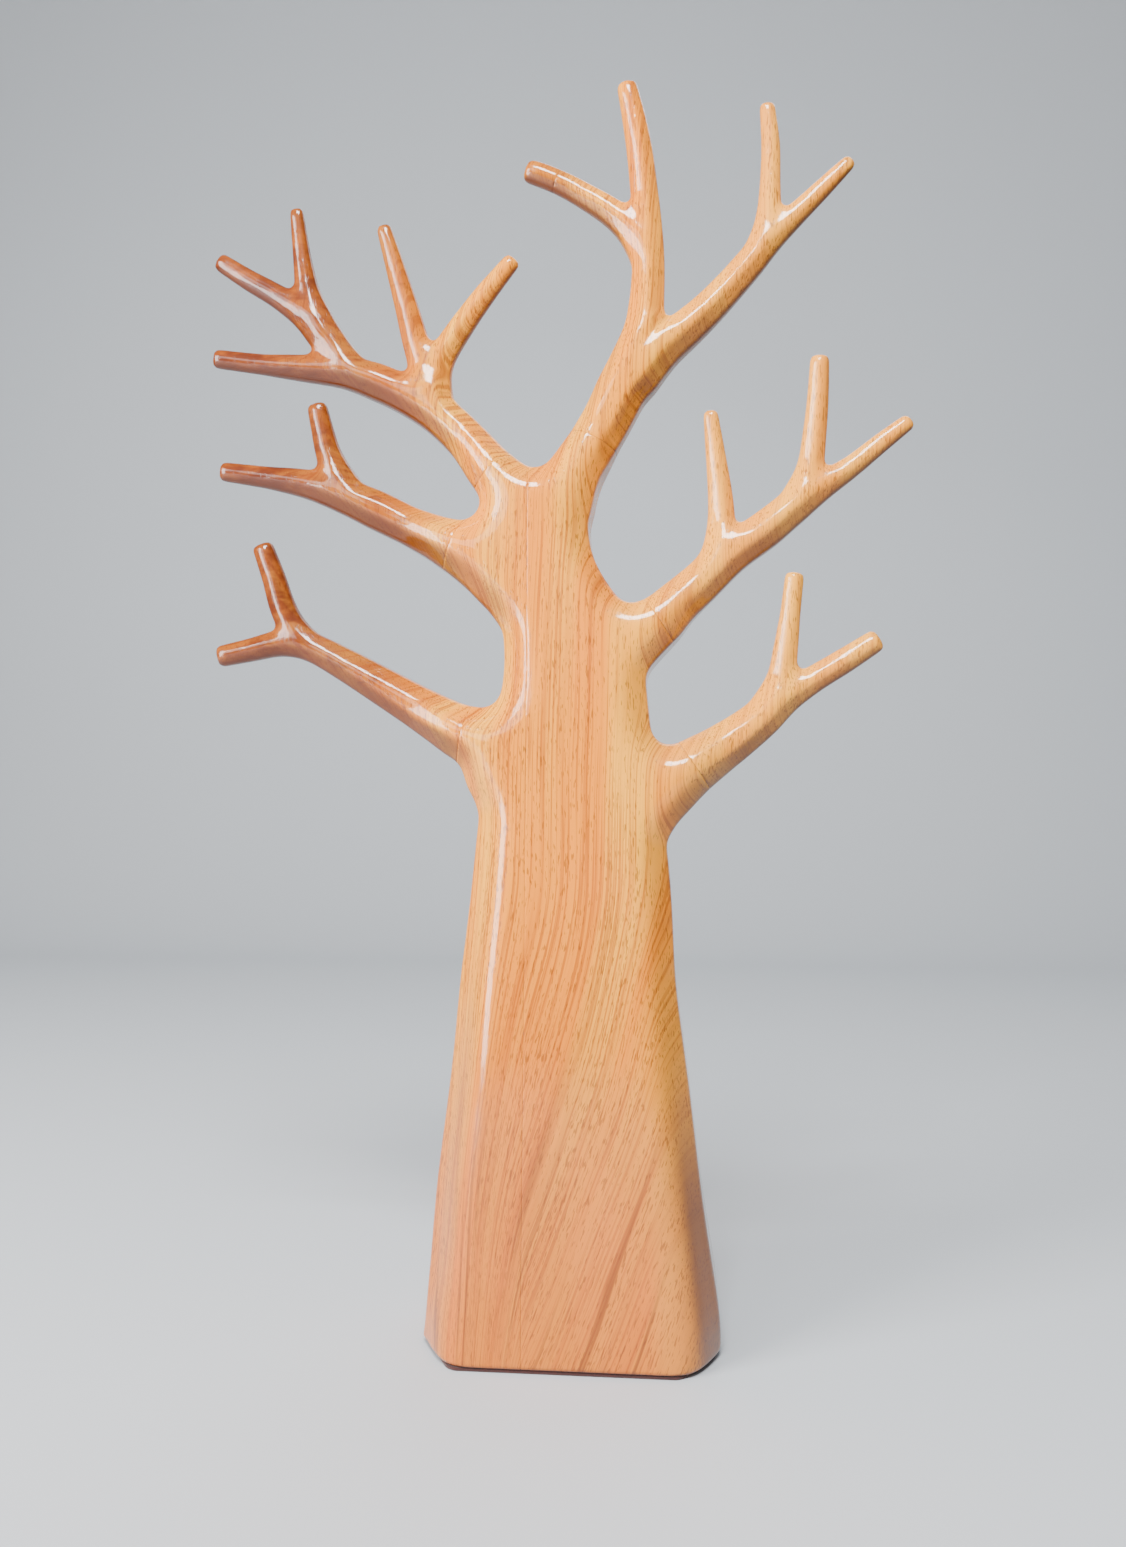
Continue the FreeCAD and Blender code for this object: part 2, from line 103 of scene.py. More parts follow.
CREASE_TOP = (40.8 * MM, 443 * MM)      # x and z of the crease's two ends
CREASE_FOOT = (30.5 * MM, 428 * MM)
CREASE_DEPTH = 3.2 * MM
CREASE_WIDTH = 1.5 * MM

LIMB_SAW_REACH = 19 * MM    # a glue joint's saw cut stays this near the joint
TIP_SAW_REACH = 10 * MM
SMALLEST_PIECE = 200        # in faces: anything less is sawdust

FELT_CORNER = 4 * MM        # how far the felt's corners are rounded
FELT_EDGE = 0.45 * MM       # how far its cut edges are rounded
FELT_SLACK = 0.02 * MM      # left between the felt and the foot


# ---------------------------------------------------------------- fields
class Block:
    """The room that the wood is carved in: a lattice of points VOXEL apart."""
    margin = 14 * MM

    def __init__(self, low, high):
        self.first = [math.floor((v - self.margin) / VOXEL) for v in low]
        last = [math.ceil((v + self.margin) / VOXEL) for v in high]
        self.shape = tuple(b - a + 1 for a, b in zip(self.first, last))

    def axis(self, i):
        return (np.arange(self.shape[i]) + self.first[i]) * VOXEL

    def index(self, i, place):
        return int(round(place / VOXEL)) - self.first[i]


def triangles_of(names):
    """The corner points and the triangles of several nodes, in one list each."""
    points, triangles, count = [], [], 0
    for name in names:
        mesh = NODES[name].data
        mesh.calc_loop_triangles()
        co = np.zeros(len(mesh.vertices) * 3, np.float32)
        mesh.vertices.foreach_get("co", co)
        tri = np.zeros(len(mesh.loop_triangles) * 3, np.int32)
        mesh.loop_triangles.foreach_get("vertices", tri)
        points.append(co.reshape(-1, 3))
        triangles.append(tri.reshape(-1, 3) + count)
        count += len(mesh.vertices)
    return np.concatenate(points), np.concatenate(triangles).astype(np.uint32)


def level_set(points, triangles, quads, outside, inside):
    """The signed distance to a closed surface, kept that far outside and inside it."""
    return openvdb.FloatGrid.createLevelSetFromPolygons(
        points, triangles=triangles, quads=quads,
        transform=openvdb.createLinearTransform(voxelSize=VOXEL),
        exBandWidth=outside / VOXEL, inBandWidth=inside / VOXEL,
    )


def polygons(grid, level):
    points, triangles, quads = grid.convertToPolygons(isovalue=level)
    return points, triangles, quads


def filleted(points, triangles, radius):
    """The same surface with every inner corner filled to a radius."""
    spare = 3 * VOXEL
    grown = polygons(level_set(points, triangles, None, radius + spare, spare), radius)
    return polygons(level_set(*grown, spare, radius + spare), -radius)


def to_array(grid, block):
    values = np.zeros(block.shape, np.float32)
    grid.copyToArray(values, ijk=tuple(block.first))
    return values


def blur(field, sigma, axes):
    """Gaussian blur with a width in voxels."""
    reach = max(1, int(math.ceil(3 * sigma)))
    weights = [math.exp(-0.5 * (k / sigma) ** 2) for k in range(-reach, reach + 1)]
    total = sum(weights)
    for axis in axes:
        padding = [(0, 0)] * field.ndim
        padding[axis] = (reach, reach)
        padded = np.pad(field, padding, mode="edge")
        result = np.zeros_like(field)
        size = field.shape[axis]
        for k, weight in enumerate(weights):
            window = [slice(None)] * field.ndim
            window[axis] = slice(k, k + size)
            result += np.float32(weight / total) * padded[tuple(window)]
        field = result
    return field


def distance_to(mask, reach):
    """How far each point of a flat lattice is from the nearest marked one, up to reach."""
    steps = int(reach / VOXEL)
    far = np.float32(steps * steps)
    squared = np.where(mask, 0, far).astype(np.float32)
    for axis in (0, 1):
        padding = [(0, 0), (0, 0)]
        padding[axis] = (steps, steps)
        padded = np.pad(squared, padding, constant_values=far)
        best = squared.copy()
        size = squared.shape[axis]
        for k in range(-steps, steps + 1):
            window = [slice(None), slice(None)]
            window[axis] = slice(steps + k, steps + k + size)
            np.minimum(best, padded[tuple(window)] + np.float32(k * k), out=best)
        squared = best
    return np.sqrt(squared) * VOXEL


def widest(field, reach):
    """The largest value within reach of each point of a flat lattice."""
    steps = int(reach / VOXEL)
    for axis in (0, 1):
        padding = [(0, 0), (0, 0)]
        padding[axis] = (steps, steps)
        padded = np.pad(field, padding)
        size = field.shape[axis]
        best = field.copy()
        for k in range(2 * steps + 1):
            window = [slice(None), slice(None)]
            window[axis] = slice(k, k + size)
            np.maximum(best, padded[tuple(window)], out=best)
        field = best
    return field


def ease(value):
    """From 0 to 1 without a kink at either end."""
    value = np.clip(value, 0, 1)
    return value * value * (3 - 2 * value)


# ---------------------------------------------------------------- joints
def glue_joint(limb):
    """Where a limb is glued on: the middle of the cut and the way that the limb leaves it.
    Both come from the limb's two dowels, which stand square across the cut."""
    mesh = NODES[f"{limb}_dowels"].data
    points = np.array([v.co for v in mesh.vertices], float)
    middle = (points.min(0) + points.max(0)) / 2
    rod = points[points[:, 1] > middle[1]]
    rod = rod - rod.mean(0)
    along = np.linalg.svd(rod, full_matrices=False)[2][0]
    along[1] = 0
    along /= np.linalg.norm(along)
    limb_points = np.array([v.co for v in NODES[limb].data.vertices], float)
    if (limb_points.mean(0) - middle) @ along < 0:
        along = -along
    return Vector(middle), Vector(along)


JOINTS = {limb: glue_joint(limb) for limb in LIMBS}


# ---------------------------------------------------------------- carving
def crease(x, z):
    """The cut that runs from the top limb's fork down beside its sweeping twig."""
    start, end = np.array(CREASE_TOP), np.array(CREASE_FOOT)
    run = end - start
    px, pz = x[:, None] - start[0], z[None, :] - start[1]
    along = np.clip((px * run[0] + pz * run[1]) / (run @ run), 0, 1)
    away = np.hypot(px - along * run[0], pz - along * run[1])
    return CREASE_DEPTH * (1 - along) ** 0.7 * np.exp(-(away / CREASE_WIDTH) ** 2)


def carve():
    """The whole tree as one carved surface: points, triangles and quads.

    Seen from the front the tree is a flat shape, and its wood reaches as far forward as
    back.  So a map of half thickness over that flat shape describes it all."""
    points, triangles = triangles_of(WOOD_NODES)
    block = Block(points.min(0), points.max(0))
    x, y, z = (block.axis(i) for i in range(3))
    middle = int(round(-y[0] / VOXEL))

    maps = {}
    for name, radius in (("sharp", FORK_FILLET), ("full", CROTCH_FILLET)):
        surface = filleted(points, triangles, radius)
        field = to_array(level_set(*surface, KNOWN_OUTSIDE, KNOWN_INSIDE), block)
        outline = field[:, middle, :].copy()
        back_half = np.clip(0.5 - field[:, middle:, :] / VOXEL, 0, 1)
        thickness = (back_half.sum(1) - 0.5) * VOXEL
        maps[name] = outline, np.maximum(thickness, 0)
        del field, back_half

    # Big fillets belong to the crotches beside the joints, not to the twigs' forks.
    crotch = np.zeros(maps["full"][0].shape, np.float32)
    for centre, _ in JOINTS.values():
        away = np.hypot(x[:, None] - centre.x, z[None, :] - centre.z)
        crotch = np.maximum(crotch, ease((CROTCH_REACH - away) / CROTCH_FADE))
    outline = maps["sharp"][0] * (1 - crotch) + maps["full"][0] * crotch
    thickness = maps["sharp"][1] * (1 - crotch) + maps["full"][1] * crotch

    # The trunk: its flat face, and how far out the face fades into each limb.
    inner = outline < -CORE_RADIUS
    reach = CORE_RADIUS + LIMB_FLOW + 4 * VOXEL      # a little past the end of the flow
    core = distance_to(inner, reach) - CORE_RADIUS
    trunk = 1 - ease(core / LIMB_FLOW)
    inside = np.maximum(-outline, 0)
    foot_top = block.index(2, FOOT_TOP)         # the foot itself is no edge of the face
    inside[:, :foot_top] = inside[:, foot_top, None]

    # Each limb keeps a narrow flat between two bevels, and each twig only a ridge.
    limb_face = blur(widest(thickness, LIMB_REACH), LIMB_MAP_SOFTNESS, (0, 1))
    limb_half = blur(widest(inside, LIMB_REACH), LIMB_MAP_SOFTNESS, (0, 1))
    limb_bevel = np.minimum(LIMB_BEVEL, RIDGE_SHARE * limb_half)
    limb_edge = LIMB_EDGE_SHARE * limb_face

    # The trunk's face is as deep as the wood on its middle line, at each height.
    column = block.index(0, 0)
    trunk_face = thickness[column, :].copy()
    foot_row, crown_row = block.index(2, FACE_FOOT), block.index(2, CROWN_HEIGHT)
    trunk_face[:foot_row] = trunk_face[foot_row]
    trunk_face[crown_row:] = trunk_face[crown_row]
    trunk_face = blur(trunk_face, TRUNK_MAP_SOFTNESS, (0,))
    trunk_bevel = np.interp(z, list(TRUNK_BEVEL), list(TRUNK_BEVEL.values()))
    trunk_edge = TRUNK_EDGE_SHARE * trunk_face

    face = limb_face * (1 - trunk) + trunk_face * trunk
    bevel = limb_bevel * (1 - trunk) + trunk_bevel * trunk
    edge = limb_edge * (1 - trunk) + trunk_edge * trunk
    climb = np.clip(inside / np.maximum(bevel, VOXEL), 0, 1)

    # The trunk's right side is rounded over, and so are both its corners at the foot.
    right_side = RIGHT_ROUNDNESS * ease(x[:, None] / RIGHT_FADE + 0.5)
    foot_side = FOOT_ROUNDNESS * ease(1 - z[None, :] / FOOT_ROUNDING)
    roundness = trunk * np.maximum(right_side, foot_side)
    climb += roundness * (np.sqrt(1 - (1 - climb) ** 2) - climb)
    half = edge + (face - edge) * climb
    half = np.maximum(half, thickness)
    half -= crease(x, z)

    # Carry the thickness a little past the outline, so that the sides stay square.
    known = outline < 0
    for _ in range(CARRY_STEPS):
        total = np.zeros_like(half)
        count = np.zeros_like(half)
        for dx, dz in ((1, 0), (-1, 0), (0, 1), (0, -1)):
            total += np.roll(np.where(known, half, 0), (dx, dz), (0, 1))
            count += np.roll(known.astype(np.float32), (dx, dz), (0, 1))
        grow = ~known & (count > 0)
        half[grow] = total[grow] / count[grow]
        known |= grow
    soft = blur(half, TRUNK_SOFTNESS, (0, 1))
    half = blur(half, LIMB_SOFTNESS, (0, 1)) * (1 - trunk) + soft * trunk

    slope_x, slope_z = np.gradient(half, VOXEL)
    steep = 1 / np.sqrt(1 + np.minimum(slope_x ** 2 + slope_z ** 2, STEEPEST ** 2))
    front = (np.abs(y)[None, :, None] - half[:, None, :]) * steep[:, None, :]
    field = np.maximum(front, outline[:, None, :]).astype(np.float32)
    limit = 5 * VOXEL
    field = np.clip(field, -limit, limit)
    field = blur(field, ARRIS_SOFTNESS, (0, 1, 2))

    # The flat foot is sawn square after the carving.
    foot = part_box("felt_pad")[1].z
    field = np.maximum(field, (foot - z)[None, None, :].astype(np.float32))

    grid = openvdb.FloatGrid(float(limit))
    grid.transform = openvdb.createLinearTransform(voxelSize=VOXEL)
    grid.copyFromArray(field, ijk=tuple(block.first))
    return polygons(grid, 0)


def mesh_object(name, points, triangles, quads):
    mesh = bpy.data.meshes.new(name)
    faces = [tuple(map(int, f)) for f in triangles] + [tuple(map(int, f)) for f in quads]
    mesh.from_pydata([tuple(map(float, p)) for p in points], [], faces)
    mesh.update()
    obj = bpy.data.objects.new(name, mesh)
    bpy.context.scene.collection.objects.link(obj)
    return obj


# ---------------------------------------------------------------- sawing apart
def saw(bm, point, normal, near=None):
    """Cuts the surface open along a plane, only within reach of near=(point, radius)."""
    faces = bm.faces[:]
    if near:
        centre, radius = near
        faces = [
            f for f in faces
            if all(math.hypot(v.co.x - centre.x, v.co.z - centre.z) < radius for v in f.verts)
        ]
    edges = {e for f in faces for e in f.edges}
    verts = {v for f in faces for v in f.verts}
    cut = bmesh.ops.bisect_plane(
        bm, geom=[*verts, *edges, *faces], dist=0.02 * MM, plane_co=point, plane_no=normal
    )["geom_cut"]
    rim = [e for e in cut if isinstance(e, bmesh.types.BMEdge)]
    bmesh.ops.split_edges(bm, edges=rim)


def islands(bm):
    """The separate surfaces of a mesh, each a list of its faces, smallest first."""
    left = set(bm.faces)
    found = []
    for seed in bm.faces:
        if seed not in left:
            continue
        left.discard(seed)
        island, front = [seed], [seed]
        while front:
            for edge in front.pop().edges:
                for other in edge.link_faces:
                    if other in left:
                        left.discard(other)
                        island.append(other)
                        front.append(other)
        found.append(island)
    return sorted(found, key=len)


def piece_from(faces):
    """A closed bmesh from an island of faces, with a cap over each sawn opening and its
    rim drawn in a hair, so that two pieces meet in a fine groove."""
    bm = bmesh.new()
    copies = {}
    for face in faces:
        for v in face.verts:
            if v not in copies:
                copies[v] = bm.verts.new(v.co)
        bm.faces.new([copies[v] for v in face.verts])
    bm.normal_update()
    rims = [e for e in bm.edges if e.is_boundary]
    rim_verts = {v for e in rims for v in e.verts}
    for v in rim_verts:
        v.co -= v.normal * SEAM_SINK
    caps = bmesh.ops.holes_fill(bm, edges=rims, sides=0)["faces"]
    for cap in caps:
        cap.normal_update()
        cap_normal = cap.normal.copy()
        for v in cap.verts:
            v.co -= cap_normal * SEAM_GAP
    bmesh.ops.triangulate(bm, faces=caps)
    bmesh.ops.recalc_face_normals(bm, faces=bm.faces[:])
    return bm


def finish_piece(bm, name, node):
    """Makes the piece an object that stands for its CAD node."""
    mesh = bpy.data.meshes.new(name)
    bm.to_mesh(mesh)
    bm.free()
    mesh.shade_smooth()
    mesh.set_sharp_from_angle(angle=math.radians(55))
    piece = bpy.data.objects.new(name, mesh)
    bpy.context.scene.collection.objects.link(piece)
    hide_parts(node)
    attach(piece, "root")
    return piece


def middle_of(node):
    low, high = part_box(node)
    return (low + high) / 2


def make_wood():
    """The nine pieces of carved wood, by the node that each stands for."""
    whole = mesh_object("carved_tree", *carve())
    bm = bmesh.new()
    bm.from_mesh(whole.data)
    bpy.data.meshes.remove(whole.data)
    for centre, along in JOINTS.values():
        saw(bm, centre, along, near=(centre, LIMB_SAW_REACH))
    tip_joint = middle_of("tip_pin")
    tip_along = middle_of(TIP) - tip_joint
    tip_along.y = 0
    saw(bm, tip_joint, tip_along.normalized(), near=(tip_joint, TIP_SAW_REACH))

    found = [piece_from(faces) for faces in islands(bm) if len(faces) > SMALLEST_PIECE]
    bm.free()
    trunk = found.pop()
    saw(trunk, Vector((BOARD_JOINT, 0, 0)), Vector((1, 0, 0)))
    found += [piece_from(faces) for faces in islands(trunk)]
    trunk.free()
    if len(found) != len(WOOD_NODES):
        raise RuntimeError(f"the wood came apart in {len(found)} pieces")

    pieces = {}
    for bm in found:
        middle = sum((v.co for v in bm.verts), Vector()) / len(bm.verts)
        free = [n for n in WOOD_NODES if n not in pieces]
        node = min(free, key=lambda n: (middle_of(n) - middle).length)
        pieces[node] = finish_piece(bm, f"{node}_carved", node)
    return pieces


# ---------------------------------------------------------------- felt
def make_felt():
    """The felt under the foot: a flat cut with soft edges and a fibrous face; its thin dark rim
    also paints the shadow line where the foot meets the floor.
    """
    low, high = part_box("felt_pad")
    hull = outline_of("felt_pad")
    bm = bmesh.new()
    ring = [bm.verts.new((px, py, low.z)) for px, py in hull]
    bottom = bm.faces.new(ring)
    lifted = bmesh.ops.extrude_face_region(bm, geom=[bottom])["geom"]
    for v in lifted:
        if isinstance(v, bmesh.types.BMVert):
            v.co.z = high.z - FELT_SLACK
    bmesh.ops.recalc_face_normals(bm, faces=bm.faces[:])
    sides = [e for e in bm.edges if abs(e.verts[0].co.z - e.verts[1].co.z) > 0.5 * MM]
    bmesh.ops.bevel(bm, geom=sides, offset=FELT_CORNER, segments=6, profile=0.5,
                    affect="EDGES")
    rims = [
        e for e in bm.edges
        if e.calc_length() > 0 and abs(e.verts[0].co.z - e.verts[1].co.z) < 0.01 * MM
        and any(abs(f.normal.z) < 0.5 for f in e.link_faces)
        and any(abs(f.normal.z) > 0.5 for f in e.link_faces)
    ]
    bmesh.ops.bevel(bm, geom=rims, offset=FELT_EDGE, segments=3, profile=0.5,
                    affect="EDGES")
    mesh = bpy.data.meshes.new("felt_pad_cut")
    bm.to_mesh(mesh)
    bm.free()
    mesh.shade_smooth()
    mesh.set_sharp_from_angle(angle=math.radians(40))
    felt = bpy.data.objects.new("felt_pad_cut", mesh)
    bpy.context.scene.collection.objects.link(felt)
    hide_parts("felt_pad")
    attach(felt, "root")
    return felt


def outline_of(node):
    """The corners of a flat node's outline, in order round it."""
    points = {(round(v.co.x, 5), round(v.co.y, 5)) for v in NODES[node].data.vertices}
    return sorted(points, key=lambda p: math.atan2(p[1], p[0]))


# ---------------------------------------------------------------- materials
class Graph:
    """A small helper that builds a material's nodes."""

    def __init__(self, name):
        self.material = bpy.data.materials.new(name)
        self.material.use_nodes = True
        self.tree = self.material.node_tree
        self.shader = self.tree.nodes["Principled BSDF"]
        here = self.tree.nodes.new("ShaderNodeTexCoord")
        scaled = self.tree.nodes.new("ShaderNodeVectorMath")
        scaled.operation = "SCALE"
        self.tree.links.new(here.outputs["Object"], scaled.inputs[0])
        scaled.inputs["Scale"].default_value = 1 / MM
        self.place = scaled.outputs[0]
        split = self.tree.nodes.new("ShaderNodeSeparateXYZ")
        self.tree.links.new(self.place, split.inputs[0])
        self.x, self.y, self.z = split.outputs
        facing = self.tree.nodes.new("ShaderNodeSeparateXYZ")
        self.tree.links.new(here.outputs["Normal"], facing.inputs[0])
        self.facing_up = facing.outputs[2]

    def put(self, socket, value):
        if isinstance(value, bpy.types.NodeSocket):
            self.tree.links.new(value, socket)
        else:
            socket.default_value = value

    def math(self, operation, *values):
        node = self.tree.nodes.new("ShaderNodeMath")
        node.operation = operation
        for socket, value in zip(node.inputs, values):
            self.put(socket, value)
        return node.outputs[0]

    def add(self, a, b):
        return self.math("ADD", a, b)

    def times(self, a, b):
        return self.math("MULTIPLY", a, b)

    def vector(self, x, y, z):
        node = self.tree.nodes.new("ShaderNodeCombineXYZ")
        for socket, value in zip(node.inputs, (x, y, z)):
            self.put(socket, value)
        return node.outputs[0]

    def stretched(self, x, y, z, per):
        """A place measured in its own units: per = mm for one unit along x, y and z."""
        return self.vector(*(self.math("DIVIDE", v, size) for v, size in zip((x, y, z), per)))

    def noise(self, place, detail=2.0, rough=0.5, scale=1.0):
        node = self.tree.nodes.new("ShaderNodeTexNoise")
        node.inputs["Scale"].default_value = scale
        node.inputs["Detail"].default_value = detail
        node.inputs["Roughness"].default_value = rough
        self.put(node.inputs["Vector"], place)
        return node.outputs["Fac"]

    def ramp(self, value, low, high, out_low=0.0, out_high=1.0):
        """value from low to high becomes out_low to out_high, eased and held past both."""
        node = self.tree.nodes.new("ShaderNodeMapRange")
        node.interpolation_type = "SMOOTHSTEP"
        for socket, given in zip(node.inputs, (value, low, high, out_low, out_high)):
            self.put(socket, given)
        return node.outputs[0]

    def mix(self, share, a, b, blend="MIX"):
        node = self.tree.nodes.new("ShaderNodeMix")
        node.data_type = "RGBA"
        node.blend_type = blend
        node.clamp_factor = True
        self.put(node.inputs[0], share)
        for socket, value in zip((node.inputs[6], node.inputs[7]), (a, b)):
            if isinstance(value, tuple):
                value = linear(value)
            self.put(socket, value)
        return node.outputs[2]

    def bump(self, height, strength, distance):
        node = self.tree.nodes.new("ShaderNodeBump")
        node.inputs["Strength"].default_value = strength
        node.inputs["Distance"].default_value = distance
        self.put(node.inputs["Height"], height)
        return node.outputs["Normal"]


def linear(colour):
    """A colour given as 0 to 255 sRGB, as the shader wants it."""
    def channel(c):
        c /= 255
        return c / 12.92 if c <= 0.04045 else ((c + 0.055) / 1.055) ** 2.4
    return (*(channel(c) for c in colour), 1.0)


def wood_material():
    """Varnished wood.  One board runs through all the pieces, so the same pattern, set
    out in the tree's own millimetres, covers them all."""
    g = Graph("varnished_wood")
    x, y, z = g.x, g.y, g.z

    # The grain stands upright, and sweeps to the left where the trunk meets the ground.
    fall = g.math("POWER", g.math("MAXIMUM", g.add(g.times(z, -1 / 200), 1.0), 0.0), 1.6)
    sweep = g.times(g.times(fall, 50), g.ramp(x, -54, -14))
    sway = g.add(g.noise(g.stretched(x, y, z, (55, 55, 140)), 1.0), -0.5)
    across = g.add(g.add(x, sweep), g.times(sway, 9))
    ring = g.math("SQRT", g.add(g.math("POWER", g.add(across, 150), 2.0),
                                g.math("POWER", g.add(y, -95), 2.0)))

    broad = g.noise(g.stretched(ring, 0.0, z, (15, 1, 420)), 2.0)
    middling = g.noise(g.stretched(ring, 7.0, z, (3.6, 1, 230)), 2.0)
    fine = g.noise(g.stretched(ring, 3.0, z, (0.9, 1, 120)), 2.0, 0.6)
    cloud = g.noise(g.stretched(x, y, z, (34, 30, 60)), 2.0)

    pale, golden, deep, fine_line = (255, 174, 44), (246, 142, 16), (170, 74, 6), (158, 68, 4)
    colour = g.mix(g.ramp(broad, 0.34, 0.66), pale, golden)

    # Lower down the wood is more golden.
    low = g.ramp(z, 230, 30)
    colour = g.mix(g.times(low, 0.72), colour, (196, 96, 6))
    colour = g.mix(g.times(g.ramp(middling, 0.48, 0.72), 0.45), colour, deep)
    colour = g.mix(g.times(g.ramp(fine, 0.48, 0.62), 0.6), colour, fine_line)
    colour = g.mix(g.times(g.ramp(cloud, 0.45, 0.75), 0.22), colour, (248, 132, 44))

    # Brown streaks run up through the swept grain.
    streak = g.noise(g.stretched(across, y, z, (6.5, 30, 330)), 3.0, 0.55)
    streaks = g.times(g.ramp(streak, 0.56, 0.68), g.ramp(z, 150, 20))
    colour = g.mix(g.times(streaks, 0.7), colour, (112, 46, 6))

    # Painted reflection: a pale band runs up the trunk's rounded right side, where that side
    # reflects the room.
    painted_reflection_band = g.times(g.ramp(g.add(x, g.times(sway, 6)), 33, 43), g.ramp(z, 170, 110))
    colour = g.mix(g.times(painted_reflection_band, 0.55), colour, (216, 140, 40))
    # Painted shade: the trunk's right edge near the foot is darkened, as that side is turned
    # away from the window light.
    corner = g.times(g.ramp(g.add(x, g.times(z, 0.12)), 53, 59), g.ramp(z, 120, 60))
    colour = g.mix(g.times(corner, 0.8), colour, (100, 46, 4))

    # The left limbs are from a darker board, darkest and most blotched at their ends.
    left = g.times(g.ramp(x, -48, -88), g.ramp(z, 225, 250))
    blotch = g.noise(g.stretched(x, y, z, (16, 9, 7)), 3.0, 0.65)
    colour = g.mix(g.times(left, 0.76), colour, (140, 62, 16))
    ends = g.times(g.ramp(x, -78, -134), g.ramp(z, 225, 250))
    colour = g.mix(g.times(ends, g.ramp(blotch, 0.35, 0.62, 0.3, 0.9)), colour,
                   (98, 36, 12))
    spots = g.times(g.ramp(blotch, 0.56, 0.66), left)
    colour = g.mix(g.times(spots, 0.5), colour, (88, 36, 16))

    # The right limbs are a little pinker and paler.
    right = g.times(g.ramp(x, 26, 60), g.ramp(z, 225, 250))
    colour = g.mix(g.times(right, 0.4), colour, (255, 172, 66))

    # The mended tip is darker, and so is the last stretch of the twig that it is glued to.
    mended = g.times(g.ramp(x, 8, -8), g.ramp(z, 480, 496))
    colour = g.mix(g.times(mended, 0.6), colour, (150, 78, 16))

    # Short dark pores lie along the grain, thicker in some bands than others.
    pore = g.noise(g.stretched(across, y, z, (0.6, 0.8, 4.6)), 1.0)
    crowd = g.noise(g.stretched(ring, 1.0, z, (7, 1, 160)), 1.0)
    pores = g.ramp(g.add(pore, g.times(g.add(crowd, -0.5), 0.25)), 0.59, 0.67)
    colour = g.mix(g.times(pores, 0.55), colour, (104, 44, 8))

    # Painted shade: the undersides are darkened, as if shaded from the light above.
    colour = g.mix(g.ramp(g.facing_up, -0.15, -0.7, 0.0, 0.9), colour, (84, 34, 4))

    g.put(g.shader.inputs["Base Color"], colour)
    g.shader.inputs["Roughness"].default_value = 0.42
    g.shader.inputs["Specular IOR Level"].default_value = 0.1
    g.shader.inputs["Coat Weight"].default_value = 0.9
    g.shader.inputs["Coat Roughness"].default_value = 0.07
    g.shader.inputs["Coat IOR"].default_value = 1.52
    ripple = g.noise(g.stretched(x, y, z, (9, 9, 26)), 2.0)
    height = g.add(g.times(ripple, 0.5), g.times(pores, -0.10))
    normal = g.bump(height, 0.30, 0.5 * MM)
    g.put(g.shader.inputs["Normal"], normal)
    g.put(g.shader.inputs["Coat Normal"], normal)
    return g.material


def dowel_material():
    """Plain turned hardwood, with its grain along the upright."""
    g = Graph("dowel_wood")
    grain = g.noise(g.stretched(g.x, g.y, g.z, (0.6, 0.6, 9)), 3.0)
    colour = g.mix(g.ramp(grain, 0.4, 0.65), (226, 196, 146), (190, 152, 100))
    g.put(g.shader.inputs["Base Color"], colour)
    g.shader.inputs["Roughness"].default_value = 0.7
    g.put(g.shader.inputs["Normal"], g.bump(grain, 0.4, 0.1 * MM))
    return g.material


def felt_and_painted_shadow_material():
    """Dark maroon felt: matted fibres, with a little sheen. The dark colour is also painted
    shadow, for the shadow line under the foot.
    """
    g = Graph("felt")
    fibre = g.noise(g.place, 4.0, 0.7, 2.2)
    tuft = g.noise(g.place, 2.0, 0.5, 0.35)
    colour = g.mix(g.ramp(fibre, 0.3, 0.7), (40, 16, 14), (78, 34, 28))
    colour = g.mix(g.times(g.ramp(tuft, 0.45, 0.7), 0.4), colour, (52, 20, 18))
    g.put(g.shader.inputs["Base Color"], colour)
    g.shader.inputs["Roughness"].default_value = 0.95
    g.shader.inputs["Sheen Weight"].default_value = 0.3
    g.put(g.shader.inputs["Normal"], g.bump(fibre, 0.8, 0.3 * MM))
    return g.material


def plain_material(name, colour, roughness):
    g = Graph(name)
    g.shader.inputs["Base Color"].default_value = linear(colour)
    g.shader.inputs["Roughness"].default_value = roughness
    return g.material


# ---------------------------------------------------------------- stage
def area_light(name, place, target, size, power, colour=(1, 1, 1)):
    """A soft rectangle of light of size (width, height), aimed at a point."""
    data = bpy.data.lights.new(name, "AREA")
    data.shape = "RECTANGLE"
    data.size, data.size_y = size
    data.energy = power
    data.color = colour
    light = bpy.data.objects.new(name, data)
    light.location = place
    light.rotation_euler = (Vector(target) - Vector(place)).to_track_quat("-Z", "Y").to_euler()
    bpy.context.scene.collection.objects.link(light)


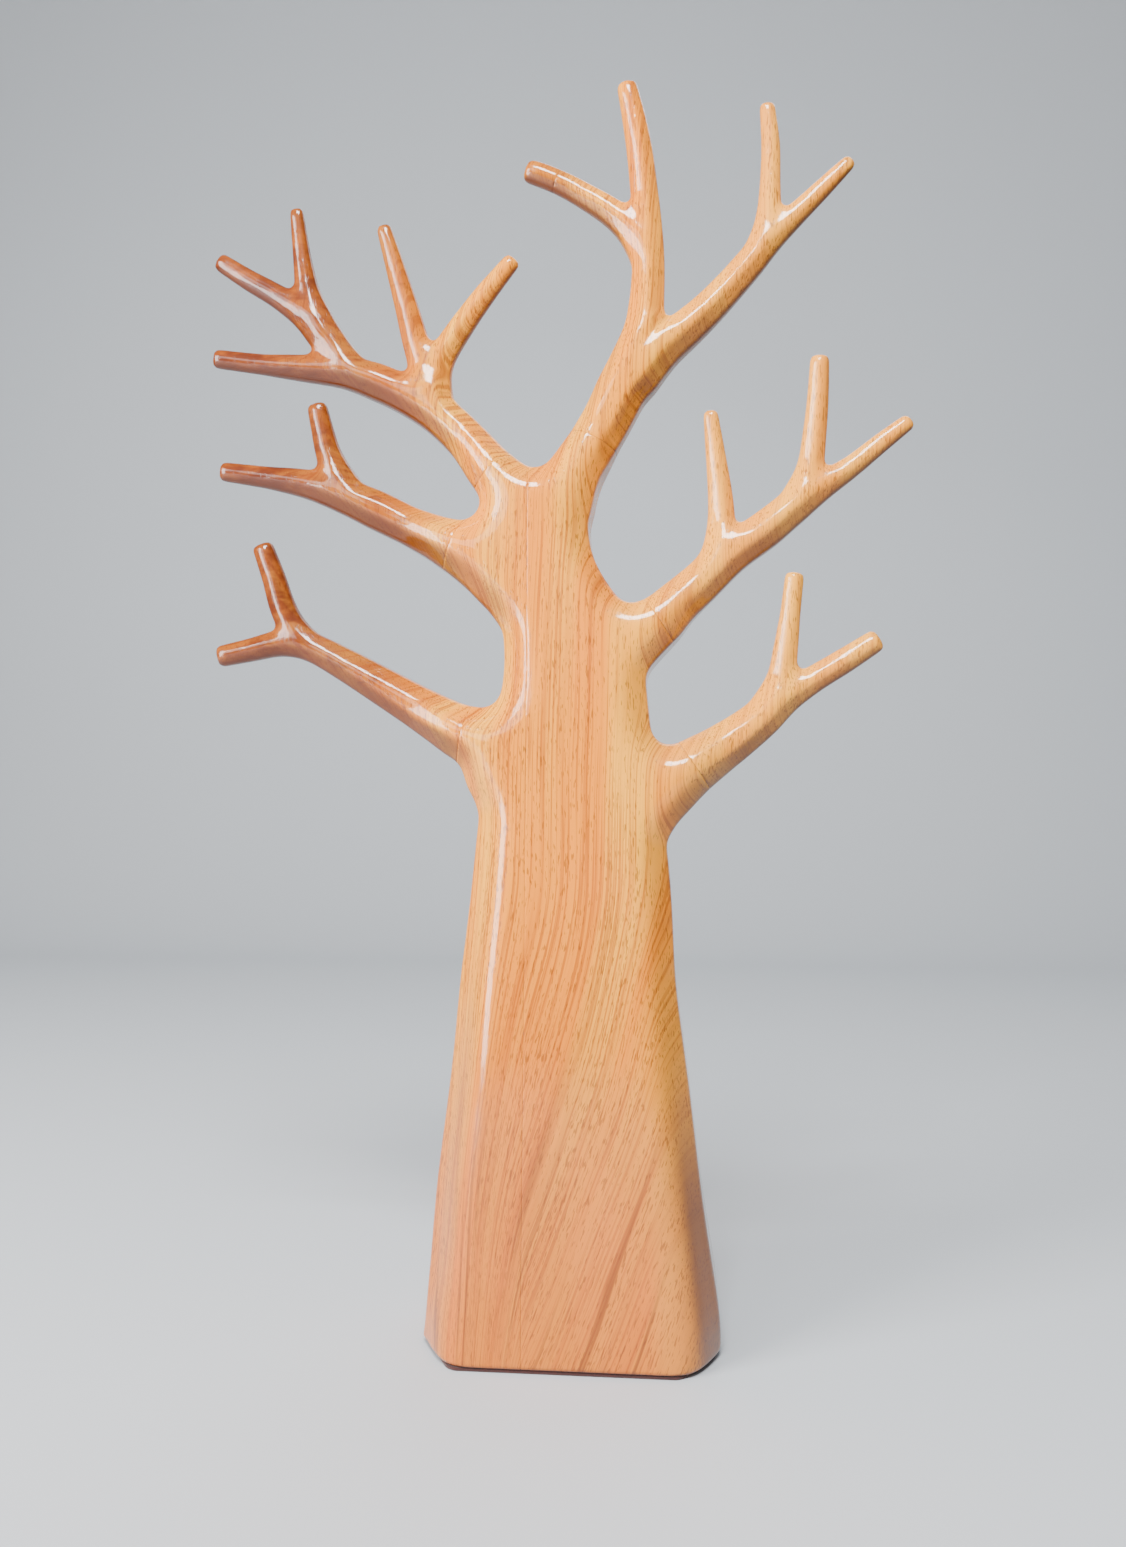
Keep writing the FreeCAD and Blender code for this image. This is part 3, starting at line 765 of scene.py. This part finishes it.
def make_stage():
    """A pale floor that curves up into a pale wall behind the tree."""
    bm = bmesh.new()
    half_width, near, bend_start, bend = 4.0, -3.0, 1.1, 0.6
    profile = [(near, 0.0), (bend_start, 0.0)]
    steps = 24
    for i in range(1, steps + 1):
        turn = math.pi / 2 * i / steps
        profile.append((bend_start + bend * math.sin(turn), bend * (1 - math.cos(turn))))
    profile.append((bend_start + bend, 4.0))
    rows = [
        [bm.verts.new((side, py, pz)) for side in (-half_width, half_width)]
        for py, pz in profile
    ]
    for a, b in zip(rows, rows[1:]):
        bm.faces.new((a[0], a[1], b[1], b[0]))
    mesh = bpy.data.meshes.new("studio_floor")
    bm.to_mesh(mesh)
    bm.free()
    mesh.shade_smooth()
    floor = bpy.data.objects.new("studio_floor", mesh)
    bpy.context.scene.collection.objects.link(floor)
    floor.data.materials.append(plain_material("pale_floor", (200, 205, 210), 0.8))


def make_lights():
    aim = (0, 0, 0.28)
    area_light("window", (-1.25, -0.95, 0.66), (0, 0, 0.45), (0.66, 1.25), 56, (1.0, 0.97, 0.95))
    area_light("ceiling", (0.0, -0.85, 1.5), (0, 0, 0.38), (0.5, 0.4), 36)
    area_light("front_fill", (-0.9, -1.6, 1.1), aim, (0.8, 0.8), 10)
    area_light("back_rim", (0.4, 0.9, 1.5), aim, (1.2, 0.6), 6)
    world = bpy.data.worlds.new("studio")
    bpy.context.scene.world = world
    world.use_nodes = True
    background = world.node_tree.nodes["Background"]
    background.inputs["Color"].default_value = (0.86, 0.89, 0.93, 1)
    background.inputs["Strength"].default_value = 0.22


def make_camera():
    """A phone held level, half a metre from the tree and five degrees to its right."""
    distance, height, yaw = 0.5226, 0.2393, math.radians(5)
    side = -0.004               # how far it stands to the left of that line
    lens_rise = 0.0094          # in sensor widths
    data = bpy.data.cameras.new("camera")
    data.sensor_width = 36.0
    data.lens = 27.6912
    data.shift_y = lens_rise
    data.clip_start = 0.01
    camera = bpy.data.objects.new("camera", data)
    camera.location = (
        distance * math.sin(yaw) + side * math.cos(yaw),
        -distance * math.cos(yaw) + side * math.sin(yaw),
        height,
    )
    camera.rotation_euler = (math.pi / 2, 0, yaw)
    bpy.context.scene.collection.objects.link(camera)
    bpy.context.scene.camera = camera


# ---------------------------------------------------------------- the tree
pieces = make_wood()
varnished = wood_material()
for piece in pieces.values():
    piece.data.materials.append(varnished)

# The felt pad, whose dark colour also paints the shadow line under the foot.
felt = make_felt()
felt.data.materials.append(felt_and_painted_shadow_material())

dowel_wood = dowel_material()
for name, node in NODES.items():
    if SLOT_OF[name] == "dowel_wood":
        node.data.materials.clear()
        node.data.materials.append(dowel_wood)

make_stage()
make_lights()
make_camera()
